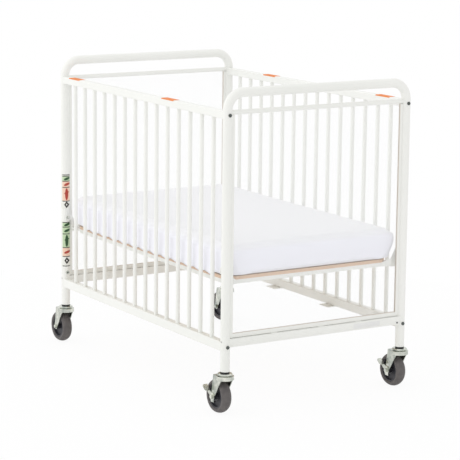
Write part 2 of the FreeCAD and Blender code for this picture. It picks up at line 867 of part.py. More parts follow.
def fork(swivel, center):
    """Crown cup, back plate and two legs, pressed from one sheet."""
    top = fork_crown_top
    foot = top - fork_crown_height
    cup = rod(V(swivel.x, swivel.y, foot), AXIS_Z, fork_crown_radius, fork_crown_height)
    cup = cup.makeFillet(fork_edge_round, edges_level_with(cup, top))
    cup = cup.cut(rod(V(swivel.x, swivel.y, foot - overrun), AXIS_Z,
                      fork_crown_radius - fork_cup_wall,
                      fork_crown_height - fork_crown_wall + overrun))
    shape = cup.fuse(box(swivel.x - fork_back_reach, swivel.x, swivel.y - leg_outer,
                         swivel.y + leg_outer, top - fork_crown_wall, top))
    for inner, outer in ((leg_inner, leg_outer), (-leg_outer, -leg_inner)):
        shape = shape.fuse(fork_leg(swivel, center, swivel.y + inner, swivel.y + outer))
    kingpin = rod(V(swivel.x, swivel.y, foot - overrun), AXIS_Z,
                  stem_diameter / 2 + axle_clearance, fork_crown_height + 2 * overrun)
    axle_hole = rod(center - V(0, leg_outer + overrun, 0), AXIS_Y, axle_diameter / 2,
                    2 * (leg_outer + overrun))
    return shape.cut(kingpin).cut(axle_hole).removeSplitter()


def caster_stem(swivel):
    """Stem, top plate on its narrower raceway, and riveted kingpin, fixed to the post."""
    plate_foot = caster_top - top_plate_thickness + top_plate_neck_height
    plate = rod(V(swivel.x, swivel.y, plate_foot), AXIS_Z, top_plate_radius,
                caster_top - plate_foot)
    plate = plate.makeChamfer(top_plate_edge_height, edges_level_with(plate, caster_top))
    neck = rod(V(swivel.x, swivel.y, plate_foot), AXIS_Z * -1, top_plate_neck_radius,
               top_plate_neck_height)
    foot_top = fork_crown_top - fork_crown_wall - running_gap
    kingpin_foot = rod(V(swivel.x, swivel.y, foot_top), AXIS_Z * -1, kingpin_foot_radius,
                       kingpin_foot_height)
    shaft = rod(V(swivel.x, swivel.y, foot_top), AXIS_Z, stem_diameter / 2,
                caster_top - foot_top + stem_length)
    return plate.multiFuse([neck, kingpin_foot, shaft]).removeSplitter()


def brake_lever(center):
    """Stamped lever on the axle: raised arm with a foot paddle, lower lobe with a shoe."""
    y_out = center.y - lever_outer
    through = V(0, lever_thickness, 0)
    rise = math.radians(lever_arm_rise)
    along = V(-math.cos(rise), 0, math.sin(rise))
    normal = V(math.sin(rise), 0, math.cos(rise))
    start = V(center.x, y_out, center.z)
    tip = start + along * lever_arm_reach
    half = normal * (lever_arm_width / 2)
    arm = prism([start - half, tip - half, tip + half, start + half], through)
    boss = rod(start, AXIS_Y, lever_boss_radius, lever_thickness)
    lobe_tip = V(-lobe_back * lobe_tip_share, 0, -lobe_drop)
    lobe_toe = V(lobe_front, 0, -lobe_drop)
    lobe = prism([start + V(-lobe_back, 0, 0), start + V(lobe_front, 0, 0),
                  start + lobe_toe, start + lobe_tip], through)
    rest = start + through + half
    sink = normal * -lever_thickness
    paddle = prism([rest + along * paddle_start, rest + along * lever_arm_reach,
                    rest + along * lever_arm_reach + sink, rest + along * paddle_start + sink],
                   V(0, -lever_thickness - paddle_width, 0))
    outer_corners = [edge for edge in edges_along(paddle, normal)
                     if edge.CenterOfMass.y < y_out]
    paddle = paddle.makeFillet(paddle_round, outer_corners)
    thick = V(0, 0, shoe_thickness)
    shoe = prism([start + lobe_toe, start + lobe_tip, start + lobe_tip + thick,
                  start + lobe_toe + thick], V(0, lever_thickness + shoe_reach, 0))
    hole = rod(start - V(0, overrun, 0), AXIS_Y, axle_diameter / 2 + axle_clearance,
               lever_thickness + 2 * overrun)
    return arm.multiFuse([boss, lobe, paddle, shoe]).cut(hole).removeSplitter()


os.makedirs("parts", exist_ok=True)

for end_name, end in ENDS.items():
    export(end_name + "_end_hoop", hoop(end))
    export(end_name + "_end_crossbar", crossbar(end))
    export(end_name + "_end_upright_channels", upright_channels(end))
    export(end_name + "_end_bottom_channel", bottom_channel(end))
    export(end_name + "_end_rail", end_rail(end))
    export(end_name + "_end_gasket", gasket(end))
    export(end_name + "_end_clear_panel", clear_panel(end))

for side_name, side in SIDES.items():
    export(side_name + "_top_rail", side_rail(side, top_rail_bottom, top_rail_height))
    export(side_name + "_bottom_rail", side_rail(side, bottom_rail_bottom, bottom_rail_height))
    export(side_name + "_slats", slats(side))
    export(side_name + "_rail_tabs", rail_tabs(side))

export("rail_plugs", rail_plugs())
export("rail_bolts", rail_bolts())
export("marker_strips", marker_strips())
export("label_plate", label_plate())
export("end_rail_set_screw", set_screw())
export("height_inserts", height_inserts())
export("height_labels", height_labels())
export("caster_sockets", caster_sockets())

export("support_end_angles", end_angles())
export("support_side_angles", side_angles())
export("support_corner_brackets", corner_brackets())
export("support_hanger_bolts", hanger_bolts())
export("support_board", support_board())
export("support_board_screws", board_screws())
export("mattress", mattress())

for end_name, end in ENDS.items():
    for side_name, side in SIDES.items():
        caster = end_name + "_" + side_name + "_caster_"
        swivel = V(end * post_x, side * post_y, 0)
        center = wheel_center(end, side)
        braked = end_name == "near"
        export(caster + "stem", caster_stem(swivel))
        export(caster + "fork", fork(swivel, center))
        export(caster + "axle", axle(center, braked))
        export(caster + "hub", hub(center))
        export(caster + "tread", tread(center))
        if braked:
            export(caster + "brake_lever", brake_lever(center))
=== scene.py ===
import json
import math

import bmesh
import bpy
import numpy as np
from mathutils import Matrix, Vector
from mathutils.bvhtree import BVHTree


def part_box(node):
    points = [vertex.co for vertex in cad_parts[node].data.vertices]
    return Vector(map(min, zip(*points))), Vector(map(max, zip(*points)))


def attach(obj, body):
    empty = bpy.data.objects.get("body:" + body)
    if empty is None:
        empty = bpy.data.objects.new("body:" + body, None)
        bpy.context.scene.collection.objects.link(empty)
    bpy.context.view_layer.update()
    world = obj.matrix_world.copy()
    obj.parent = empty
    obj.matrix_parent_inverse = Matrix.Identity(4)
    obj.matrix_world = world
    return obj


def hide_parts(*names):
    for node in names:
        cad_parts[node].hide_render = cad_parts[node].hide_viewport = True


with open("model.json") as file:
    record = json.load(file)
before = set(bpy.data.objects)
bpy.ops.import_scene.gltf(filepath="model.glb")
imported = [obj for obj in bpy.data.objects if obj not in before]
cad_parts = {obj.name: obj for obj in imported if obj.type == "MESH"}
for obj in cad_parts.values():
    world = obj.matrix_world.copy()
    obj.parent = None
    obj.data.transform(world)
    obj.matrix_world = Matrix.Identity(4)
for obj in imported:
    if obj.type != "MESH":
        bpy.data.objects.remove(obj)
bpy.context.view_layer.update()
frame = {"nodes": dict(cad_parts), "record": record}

# Evacuation crib in metres, +X towards the near end, -Y the front side, +Z up
near_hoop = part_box("near_end_hoop")
far_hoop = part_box("far_end_hoop")
post_middle = Vector(((near_hoop[0].x + far_hoop[1].x) / 2, (near_hoop[0].y + near_hoop[1].y) / 2, 0))
post_radius = (far_hoop[1].x - far_hoop[0].x) / 2
board_low, board_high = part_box("support_board")
slat_low, slat_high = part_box("front_slats")
mattress_low, mattress_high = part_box("mattress")
mattress_middle = (mattress_low + mattress_high) / 2
mattress_half = (mattress_high - mattress_low) / 2

# The photograph's camera, seen from the middle of the four posts
camera_azimuth = 58.44
camera_elevation = 10.45
camera_roll = 0.59
camera_place = Vector((5.31408, -3.27220, 1.60337))
camera_reach = (0.1, 60.0)
frame_pixels = 460
focal_pixels = 2000.21
principal_pixels = (-5.36, -4.61)
sensor_width = 36.0


class Signal:
    """Output socket of a shader node. Arithmetic on it adds Math nodes."""

    def __init__(self, finish, socket):
        self.finish = finish
        self.socket = socket

    def math(self, operation, *values):
        return self.finish.add("ShaderNodeMath", {"operation": operation}, values)

    def __add__(self, other):
        return self.math("ADD", self, other)

    __radd__ = __add__

    def __sub__(self, other):
        return self.math("SUBTRACT", self, other)

    def __rsub__(self, other):
        return self.math("SUBTRACT", other, self)

    def __mul__(self, other):
        return self.math("MULTIPLY", self, other)

    __rmul__ = __mul__

    def __truediv__(self, other):
        return self.math("DIVIDE", self, other)

    def __abs__(self):
        return self.math("ABSOLUTE", self)

    def __pow__(self, other):
        return self.math("POWER", self, other)

    def above(self, other):
        return self.math("GREATER_THAN", self, other)

    def below(self, other):
        return self.math("LESS_THAN", self, other)

    def larger(self, other):
        return self.math("MAXIMUM", self, other)

    def sine(self):
        return self.math("SINE", self)

    def ramp(self, low, high):
        """0 below low, 1 above high, and an even slope between them."""
        return self.finish.add("ShaderNodeMapRange", {"clamp": True}, {0: self, 1: low, 2: high})

    def soft(self, low, high):
        """As ramp, with eased ends."""
        settings = {"interpolation_type": "SMOOTHSTEP"}
        return self.finish.add("ShaderNodeMapRange", settings, {0: self, 1: low, 2: high})


def socket_name(words):
    """Name of a shader socket from a keyword, such as specular_ior_level."""
    return words.replace("_", " ").title().replace("Ior", "IOR")


class Finish:
    """One material: a Principled shader and the nodes that feed it."""

    def __init__(self, name, **constants):
        self.material = bpy.data.materials.new(name)
        self.material.use_nodes = True
        self.tree = self.material.node_tree
        self.tree.nodes.clear()
        self.shader = self.tree.nodes.new("ShaderNodeBsdfPrincipled")
        self.output = self.tree.nodes.new("ShaderNodeOutputMaterial")
        self.tree.links.new(self.shader.outputs[0], self.output.inputs[0])
        for words, value in constants.items():
            self.shader.inputs[socket_name(words)].default_value = value

    def feed(self, socket, value):
        if isinstance(value, Signal):
            self.tree.links.new(value.socket, socket)
        else:
            socket.default_value = value

    def add(self, kind, settings, inputs=(), output=0):
        """Adds a node: its settings first, then the values or links of its sockets."""
        node = self.tree.nodes.new(kind)
        for key, value in settings.items():
            setattr(node, key, value)
        pairs = inputs.items() if isinstance(inputs, dict) else enumerate(inputs)
        for key, value in pairs:
            self.feed(node.inputs[key], value)
        return Signal(self, node.outputs[output])

    def place(self):
        """Object coordinates, in metres."""
        return self.add("ShaderNodeTexCoord", {}, output="Object")

    def axes(self, vector=None):
        """The X, Y and Z of a vector, by default of the object coordinates."""
        source = vector or self.place()
        return [self.add("ShaderNodeSeparateXYZ", {}, [source], output=index) for index in range(3)]

    def stretched(self, sx, sy, sz):
        """Object coordinates scaled along each axis, which draws out a pattern along the smallest."""
        return self.add("ShaderNodeMapping", {}, {"Vector": self.place(), "Scale": (sx, sy, sz)})

    def noise(self, scale, detail=2.0, roughness=0.5, vector=None):
        place = vector or self.place()
        inputs = {"Vector": place, "Scale": scale, "Detail": detail, "Roughness": roughness}
        return self.add("ShaderNodeTexNoise", {}, inputs)

    def blend(self, factor, first, second):
        """Colour first where factor is 0 and second where it is 1."""
        inputs = {0: factor, 6: first, 7: second}
        return self.add("ShaderNodeMix", {"data_type": "RGBA"}, inputs, output=2)

    def bump(self, height, strength, distance):
        inputs = {"Height": height, "Strength": strength, "Distance": distance}
        return self.add("ShaderNodeBump", {}, inputs)

    def set(self, **sockets):
        for words, value in sockets.items():
            self.feed(self.shader.inputs[socket_name(words)], value)
        return self


def rgb(red, green, blue):
    """Linear colour from the 0 to 255 values that a screen shows."""
    shares = np.array((red, green, blue)) / 255.0
    linear = np.where(shares <= 0.04045, shares / 12.92, ((shares + 0.055) / 1.055) ** 2.4)
    return (*linear.tolist(), 1.0)


def enamel_finish():
    """Baked off-white enamel with a faint orange peel and slight tone changes."""
    finish = Finish("baked enamel", ior=1.5, coat_roughness=0.12)
    tone = finish.noise(2.5, 3.0)
    peel = finish.noise(420.0, 2.0)
    colour = finish.blend(tone.ramp(0.3, 0.7), rgb(243, 243, 239), rgb(238, 239, 234))
    return finish.set(
        base_color=colour,
        roughness=0.3 + 0.1 * finish.noise(30.0, 3.0),
        coat_weight=0.25,
        normal=finish.bump(peel, 0.12, 0.0004),
    )


def zinc_finish(name="bright zinc", tint=rgb(226, 227, 217), dark_tint_and_reflection=rgb(152, 160, 154)):
    """Zinc plating: soft cloudy tint whose pale and dark patches also serve as painted reflections,
    rolling streaks, fine grain.
    """
    finish = Finish(name, metallic=1.0)
    cloud = finish.noise(45.0, 3.0)
    streak = finish.noise(1.0, 3.0, vector=finish.stretched(60.0, 60.0, 900.0))
    return finish.set(
        # Painted reflection: the pale and dark patches are the plating's own tint and also stand in for
        # the dark reflections that the white surroundings don't give
        base_color=finish.blend(cloud.ramp(0.3, 0.72), tint, dark_tint_and_reflection),
        roughness=0.18 + 0.14 * streak,
        normal=finish.bump(streak, 0.15, 0.0003),
    )


def clear_finish():
    """Clear sheet: nearly unseen face on, with more gloss at a glancing angle."""
    finish = Finish("clear sheet", ior=1.49, base_color=(0.95, 0.97, 0.98, 1.0))
    glance = finish.add("ShaderNodeLayerWeight", {}, {"Blend": 0.25}, output="Facing")
    haze = finish.noise(9.0, 4.0)
    return finish.set(roughness=0.03 + 0.05 * haze, alpha=0.03 + 0.14 * glance)


def gasket_finish():
    finish = Finish("glazing strip", specular_ior_level=0.3)
    grain = finish.noise(300.0, 3.0)
    return finish.set(
        base_color=finish.blend(grain, rgb(236, 230, 222), rgb(228, 220, 210)),
        roughness=0.65 + 0.15 * grain,
        normal=finish.bump(grain, 0.2, 0.0004),
    )


def tread_finish():
    """Grey non-marking rubber, a little paler where it is scuffed."""
    finish = Finish("grey rubber", specular_ior_level=0.35)
    scuff = finish.noise(60.0, 4.0)
    grain = finish.noise(700.0, 2.0)
    return finish.set(
        base_color=finish.blend(scuff.ramp(0.3, 0.75), rgb(90, 86, 86), rgb(108, 104, 102)),
        roughness=0.5 + 0.2 * scuff,
        normal=finish.bump(grain, 0.25, 0.0003),
    )


def moulded_finish(name, dark, pale):
    """Moulded plastic with a fine grain."""
    finish = Finish(name, specular_ior_level=0.45)
    grain = finish.noise(900.0, 2.0)
    cloud = finish.noise(40.0, 3.0)
    return finish.set(
        base_color=finish.blend(cloud, dark, pale),
        roughness=0.38 + 0.16 * cloud,
        normal=finish.bump(grain, 0.2, 0.0002),
    )


# Depth of the band of painted shade along the top of the board's cut edges
board_shade_band_depth = 0.0030


def board_finish():
    """Pressed board: flecked faces, darker and coarser cut edges, and a grey-brown band of painted shade
    along the top of the cut edges, for the shadow under the mattress's overhang.
    """
    finish = Finish("pressed board", specular_ior_level=0.25)
    fleck = finish.noise(1.0, 4.0, 0.65, vector=finish.stretched(140.0, 260.0, 500.0))
    facing = finish.axes(finish.add("ShaderNodeTexCoord", {}, output="Normal"))[2]
    edge = 1.0 - abs(facing).ramp(0.3, 0.7)
    face = finish.blend(fleck.ramp(0.35, 0.7), rgb(230, 214, 196), rgb(218, 198, 176))
    cut = finish.blend(fleck.ramp(0.3, 0.7), rgb(234, 210, 190), rgb(218, 186, 160))
    # Painted shade: the top of the cut edges turns grey-brown, standing in for the shadow that the
    # mattress's overhang casts on the board's edge
    overhang_shade_band = finish.axes()[2].above(board_high.z - board_shade_band_depth)
    return finish.set(
        base_color=finish.blend(edge, face, finish.blend(overhang_shade_band, cut, rgb(150, 138, 128))),
        roughness=0.6 + 0.2 * fleck,
        normal=finish.bump(fleck, 0.3, 0.0006),
    )


def marker_finish():
    finish = Finish("orange marker", specular_ior_level=0.4)
    weave = finish.noise(220.0, 3.0)
    return finish.set(
        base_color=finish.blend(weave, rgb(240, 138, 58), rgb(228, 122, 44)),
        roughness=0.42 + 0.2 * weave,
        normal=finish.bump(weave, 0.2, 0.0002),
    )


def bare_plate_finish():
    """Satin plate with nothing on it, brushed along its length."""
    finish = Finish("bare plate", specular_ior_level=0.5)
    brush = finish.noise(1.0, 3.0, vector=finish.stretched(400.0, 12.0, 400.0))
    return finish.set(
        base_color=finish.blend(brush, rgb(238, 238, 236), rgb(230, 230, 229)),
        roughness=0.3 + 0.2 * brush,
        normal=finish.bump(brush, 0.15, 0.0002),
    )


# What is printed on the two post labels, in heights over the floor and in places across the film, which
# run along the direction label_across as seen from above
label_across = (math.cos(math.radians(57)), math.sin(math.radians(57)))
label_shift = 0.0054
label_print_shift = 0.0030
label_print_half = 0.0118
label_line_half = 0.0014
label_lozenge_half = (0.0082, 0.0118)
label_lozenge_hole_share = 0.32
pale_green = rgb(192, 214, 176)
deep_green = rgb(34, 76, 36)
pale_peach = rgb(242, 208, 186)
rust = rgb(176, 60, 44)

# Ovals of a motif: tilt from level, half length, half width, and the middle's place across and up
squat_ovals = ((22, 0.0100, 0.0042, 0.0010, 0.0),)
tall_ovals = ((90, 0.0200, 0.0050, 0.0, 0.0), (24, 0.0082, 0.0028, 0.0, 0.0050))

# Bands: low and high edge, field and motif colour, and the motif's ovals
label_bands = [
    (0.5475, 0.564, pale_green, deep_green, squat_ovals),
    (0.527, 0.5475, pale_peach, rust, squat_ovals),
    (0.481, 0.527, pale_peach, rust, tall_ovals),
    (0.394, 0.411, pale_green, deep_green, squat_ovals),
    (0.371, 0.394, pale_green, deep_green, squat_ovals),
    (0.325, 0.371, pale_green, deep_green, tall_ovals),
    (0.295, 0.325, pale_peach, rust, squat_ovals),
]
label_lines = [0.5685, 0.564, 0.5475, 0.527, 0.481, 0.4095, 0.394, 0.371, 0.325, 0.295, 0.263]
label_lozenges = [0.4692, 0.2812]


def height_label_finish():
    """Printed film: plain bands with ovals on them, dark lines between and a lozenge below, and no
    lettering."""
    finish = Finish("banded film", specular_ior_level=0.5)
    x, y, z = finish.axes()
    grain = finish.noise(500.0, 2.0)
    colour = finish.blend(grain, rgb(240, 240, 234), rgb(232, 233, 226))
    post_x = far_hoop[0].x + post_radius
    post_y = far_hoop[0].y + post_radius
    across = (x - post_x) * label_across[0] + (y - post_y) * label_across[1] - label_shift
    printed = abs(across + label_shift - label_print_shift).below(label_print_half)
    for low, high, field, motif, ovals in label_bands:
        inside = printed * z.above(low) * z.below(high)
        colour = finish.blend(inside, colour, field)
        rise = z - (low + high) / 2
        for tilt, half_length, half_width, aside, above in ovals:
            turn = math.radians(tilt)
            along = (across - aside) * math.cos(turn) + (rise - above) * math.sin(turn)
            over = (rise - above) * math.cos(turn) - (across - aside) * math.sin(turn)
            reach = (along / half_length) ** 2.0 + (over / half_width) ** 2.0
            colour = finish.blend(inside * reach.below(1.0), colour, motif)
    for line in label_lines:
        colour = finish.blend(printed * abs(z - line).below(label_line_half), colour, rgb(70, 72, 66))
    for middle in label_lozenges:
        reach = abs(across) / label_lozenge_half[0] + abs(z - middle) / label_lozenge_half[1]
        ring = reach.below(1.0) * reach.above(label_lozenge_hole_share)
        colour = finish.blend(ring, colour, rgb(26, 22, 16))
    return finish.set(base_color=colour, roughness=0.34 + 0.1 * grain,
                      normal=finish.bump(grain, 0.1, 0.0001))


thread_pitch = 0.0011


def sheet_finish():
    """White cotton: fine weave from the sheet's own UV map, soft sheen, and painted light that makes the
    flanks lighter and bluer than the upward faces.
    """
    finish = Finish("fitted cotton", specular_ior_level=0.2, sheen_weight=0.25, sheen_roughness=0.5)
    uv = finish.add("ShaderNodeTexCoord", {}, output="UV")
    across, along, _ = finish.axes(uv)
    thread = 2.0 * math.pi / thread_pitch
    weave = (across * thread).sine() * (along * thread).sine()
    cloud = finish.noise(6.0, 3.0)
    # Painted light: faces that look up take the dimmer top colours and the flanks the lighter, bluer ones,
    # so the sides read brighter than their lighting alone makes them
    level = finish.axes(finish.add("ShaderNodeTexCoord", {}, output="Normal"))[2].ramp(0.4, 0.9)
    brighter_flank = finish.blend(cloud, rgb(249, 249, 255), rgb(246, 246, 253))
    top = finish.blend(cloud, rgb(244, 244, 246), rgb(241, 241, 244))
    return finish.set(
        base_color=finish.blend(level, brighter_flank, top),
        roughness=0.85 + 0.08 * cloud,
        normal=finish.bump(weave, 0.1, 0.0002),
    )


def paint_frame_nodes():
    """Gives every CAD node the finish of its material slot."""
    finishes = {
        "enamel": enamel_finish(),
        "zinc": zinc_finish(),
        "dark_zinc": zinc_finish("dull plating", rgb(104, 108, 106), rgb(80, 84, 82)),
        "black_screw": moulded_finish("black oxide", rgb(34, 34, 36), rgb(48, 48, 50)),
        "clear_sheet": clear_finish(),
        "gasket": gasket_finish(),
        "orange_marker": marker_finish(),
        "bare_label": bare_plate_finish(),
        "height_label": height_label_finish(),
        "black_plastic": moulded_finish("black socket", rgb(24, 24, 26), rgb(36, 36, 38)),
        "hub_black": moulded_finish("moulded hub", rgb(38, 38, 44), rgb(54, 54, 60)),
        "grey_rubber": tread_finish(),
        "board": board_finish(),
        "sheet": sheet_finish(),
    }
    for part in frame["record"]["subparts"]:
        node = frame["nodes"][part["node"]]
        node.data.materials.clear()
        node.data.materials.append(finishes[part["material_slot"]].material)
    return finishes


def piece_from(name, mesh, finish):
    """Smooth object that shows a mesh with one finish."""
    piece = bpy.data.objects.new(name, mesh)
    bpy.context.scene.collection.objects.link(piece)
    mesh.materials.append(finish.material)
    mesh.polygons.foreach_set("use_smooth", [True] * len(mesh.polygons))
    return piece


# The cushion, which fills the mattress's solid with the sheet over it
sheet_gap = 0.0012
sheet_thickness = 0.0006
cushion_rear_gap = 0.003
cushion_low_corner = 0.050
cushion_high_corner = 0.012
cushion_corner_step = (0.028, 0.048)
cushion_edge_depth = 0.055
cushion_core = 0.002
cushion_flat_share = 0.9
cushion_boxiness = 4.8
cushion_foot_boxiness = 30.0
cushion_crown = 0.006
cushion_flank_rings = 61
cushion_flat_rings = 8
cushion_voxel = 0.010
cushion_pressure = 4.0
cushion_frames = 20
cushion_cap = 0.005
cushion_firm_foot = 0.030
merge_distance = 0.0002

# The cushion's lower edge: how far it hangs over the board's long edges, in a wave with one crest to each
# slat, how far it lifts past the board's ends, and the distances over which both fade
slat_count = 14
slat_diameter = 0.0127
slat_pitch = (slat_high.x - slat_low.x - slat_diameter) / (slat_count - 1)
board_edge_gap = 0.0025
hang_depth = 0.0140
end_lift = 0.0075
hang_push = 0.003
hang_wave_share = 0.3
hang_wave_turn = 1.9
hang_fade = 0.030
hang_corner = 0.060
hang_corner_fade = 0.020
hang_ramp_x = 0.008
hang_ramp_y = 0.002

# The sheet's hem, puckers and sewn corner ridges; each pucker wave has its radians per metre and its start
hem_depth = 0.060
under_normal = -0.7
pucker_height = 0.0003
pucker_rise_share = 0.45
pucker_waves = ((150.0, 0.0), (97.0, 1.3), (233.0, 0.4))
seam_radius = 0.0009
seam_sides = 8
seam_points = 24
seam_foot_gap = 0.006
seam_head_gap = 0.012
seam_reach = 0.2


def rounded_rings(half_x, half_y, radius):
    """Counter-clockwise rounded rectangles, one per entry: four quarter arcs with even straight runs
    between them."""
    arc_steps, run_steps = 12, 30
    rings = []
    corners = ((1, 1), (-1, 1), (-1, -1), (1, -1))
    for index, (sign_x, sign_y) in enumerate(corners):
        angle = np.radians(90.0 * index + np.linspace(0.0, 90.0, arc_steps))
        arc_x = sign_x * (half_x - radius)[:, None] + radius[:, None] * np.cos(angle)
        arc_y = sign_y * (half_y - radius)[:, None] + radius[:, None] * np.sin(angle)
        rings.append(np.stack([arc_x, arc_y], axis=-1))
    runs = []
    for index, arc in enumerate(rings):
        share = np.linspace(0.0, 1.0, run_steps + 2)[1:-1, None]
        start, stop = arc[:, -1:], rings[(index + 1) % 4][:, :1]
        runs += [arc, start + (stop - start) * share]
    return np.concatenate(runs, axis=1)


def cushion_form():
    """Closed cushion. Each ring is the outline drawn in by edge depth times 1 - cos(a)^(2/n), at a height
    of half the thickness times sin(a)^(2/n), for a from straight down to straight up and n the boxiness,
    which is greater below. From there the rings close to the middle, and the top is crowned by 1 - x^2
    times 1 - y^2. The corners are rounder below, beside the hanger plates, and ease to a smaller radius
    above them."""
    turn = np.radians(np.linspace(-90.0, 90.0, cushion_flank_rings))
    power = 2.0 / np.where(turn < 0.0, cushion_foot_boxiness, cushion_boxiness)
    inset = cushion_edge_depth * (1.0 - np.cos(turn).clip(0.0, 1.0) ** power)
    height = np.sign(np.sin(turn)) * np.abs(np.sin(turn)) ** power
    half_x = mattress_half.x
    half_y = mattress_half.y - cushion_rear_gap / 2
    inward = np.linspace(cushion_edge_depth, half_y - cushion_core, cushion_flat_rings + 1)[1:]
    inset = np.concatenate([inward[::-1], inset, inward])
    height = np.concatenate([-np.ones(len(inward)), height, np.ones(len(inward))])
    half_z = mattress_half.z - cushion_crown / 2 - sheet_gap - sheet_thickness
    start, end = cushion_corner_step
    step = ((half_z * (1.0 + height) - start) / (end - start)).clip(0.0, 1.0)
    eased = step * step * (3.0 - 2.0 * step)
    corner = cushion_low_corner + (cushion_high_corner - cushion_low_corner) * eased
    plan = rounded_rings(half_x - inset, half_y - inset, (corner - inset).clip(cushion_core, None))
    across, along = plan[..., 0] / half_x, plan[..., 1] / half_y
    level = (height > cushion_flat_share)[:, None]
    crown = cushion_crown * (1.0 - across ** 2) * (1.0 - along ** 2) * level
    rise = half_z * height[:, None] + crown - cushion_crown / 2
    points = np.stack([plan[..., 0], plan[..., 1] - cushion_rear_gap / 2, rise], axis=-1)
    return points + np.array(mattress_middle)


def closed_mesh(name, points):
    """Mesh of rings [ring, point, 3], with quads between neighbours and a face over each end."""
    grid = points.transpose(1, 0, 2)[::-1]
    index = np.arange(grid.shape[0] * grid.shape[1]).reshape(grid.shape[:2])
    index = np.vstack([index, index[:1]])
    faces = np.stack([index[:-1, :-1], index[1:, :-1], index[1:, 1:], index[:-1, 1:]], axis=-1)
    mesh = bpy.data.meshes.new(name)
    mesh.from_pydata(grid.reshape(-1, 3), [], faces.reshape(-1, 4).tolist())
    shape = bmesh.new()
    shape.from_mesh(mesh)
    bmesh.ops.remove_doubles(shape, verts=shape.verts, dist=merge_distance)
    bmesh.ops.holes_fill(shape, edges=[edge for edge in shape.edges if edge.is_boundary])
    bmesh.ops.recalc_face_normals(shape, faces=shape.faces)
    shape.to_mesh(mesh)
    shape.free()
    return mesh


def mesh_points(mesh):
    points = np.empty(len(mesh.vertices) * 3)
    mesh.vertices.foreach_get("co", points)
    return points.reshape(-1, 3)


def mesh_normals(mesh):
    normals = np.empty(len(mesh.vertices) * 3)
    mesh.vertex_normals.foreach_get("vector", normals)
    return normals.reshape(-1, 3)


def put_points(mesh, points):
    mesh.vertices.foreach_set("co", points.ravel())
    mesh.update()


def shown_mesh(holder):
    """New mesh of what an object's modifiers make of it."""
    graph = bpy.context.evaluated_depsgraph_get()
    return bpy.data.meshes.new_from_object(holder.evaluated_get(graph))


def filled_mesh(mesh):
    """The mesh remade of even squares and swollen outwards by its filling, no point by more than the cap
    and less towards the foot, then fitted to the board's edge."""
    scene = bpy.context.scene
    holder = bpy.data.objects.new("filling", mesh)
    scene.collection.objects.link(holder)
    remesh = holder.modifiers.new("remesh", "REMESH")
    remesh.mode = "VOXEL"
    remesh.voxel_size = cushion_voxel
    even = shown_mesh(holder)
    holder.modifiers.clear()
    holder.data = even
    points = mesh_points(even)
    cloth = holder.modifiers.new("cloth", "CLOTH")
    cloth.settings.use_pressure = True
    cloth.settings.uniform_pressure_force = cushion_pressure
    cloth.settings.effector_weights.gravity = 0.0
    for step in range(1, cushion_frames + 1):
        scene.frame_set(step)
    blown = mesh_points(shown_mesh(holder))
    scene.frame_set(1)
    holder.modifiers.clear()
    outward = mesh_normals(even)
    swell = ((blown - points) * outward).sum(axis=1).clip(0.0, cushion_cap)
    firm = ((points[:, 2] - mattress_low.z) / cushion_firm_foot).clip(0.0, 1.0)
    points = points + outward * (swell * firm)[:, None]
    floor_level = mattress_low.z + sheet_gap + sheet_thickness
    points[:, 2] = points[:, 2].clip(floor_level, None)
    put_points(even, points)
    cut_at_board(even)
    put_points(even, hung_over_board(mesh_points(even)))
    bpy.data.objects.remove(holder)
    return even


def cut_at_board(mesh):
    """Splits the faces along the four upright planes just outside the board's edges."""
    shape = bmesh.new()
    shape.from_mesh(mesh)
    planes = (
        (board_low, (-1, 0, 0)),
        (board_low, (0, -1, 0)),
        (board_high, (1, 0, 0)),
        (board_high, (0, 1, 0)),
    )
    for corner, across in planes:
        everything = shape.verts[:] + shape.edges[:] + shape.faces[:]
        place = Vector(corner) + Vector(across) * board_edge_gap
        bmesh.ops.bisect_plane(shape, geom=everything, plane_co=place, plane_no=across)
    shape.to_mesh(mesh)
    shape.free()


def hung_over_board(points):
    """Points with the cushion's lower edge let down past the board's long edges and pushed a little
    outwards, to a depth that follows a wave of the slats' pitch, and lifted beyond the board's ends by an
    amount that grows with the overhang. Both fade upwards and towards the corners."""
    middle = (board_low + board_high) / 2
    away_x = np.abs(points[:, 0] - middle.x)
    away_y = np.abs(points[:, 1] - middle.y)
    half_x = board_high.x - middle.x
    half_y = board_high.y - middle.y
    past_x = ((away_x - half_x - board_edge_gap) / hang_ramp_x).clip(0.0, 1.0)
    past_y = ((away_y - half_y - board_edge_gap) / hang_ramp_y).clip(0.0, 1.0)
    share_x = past_x * ((half_y - hang_corner - away_y) / hang_corner_fade).clip(0.0, 1.0)
    share_y = past_y * ((half_x - hang_corner - away_x) / hang_corner_fade).clip(0.0, 1.0)
    wave = np.sin(2.0 * math.pi * (points[:, 0] - slat_low.x) / slat_pitch - hang_wave_turn)
    depth = hang_depth * (1.0 + hang_wave_share * wave) * share_y - end_lift * share_x
    fade = (1.0 - (points[:, 2] - mattress_low.z) / hang_fade).clip(0.0, 1.0)
    hung = points.copy()
    hung[:, 1] += hang_push * share_y * fade * np.sign(points[:, 1] - middle.y)
    hung[:, 2] -= depth * fade
    return hung


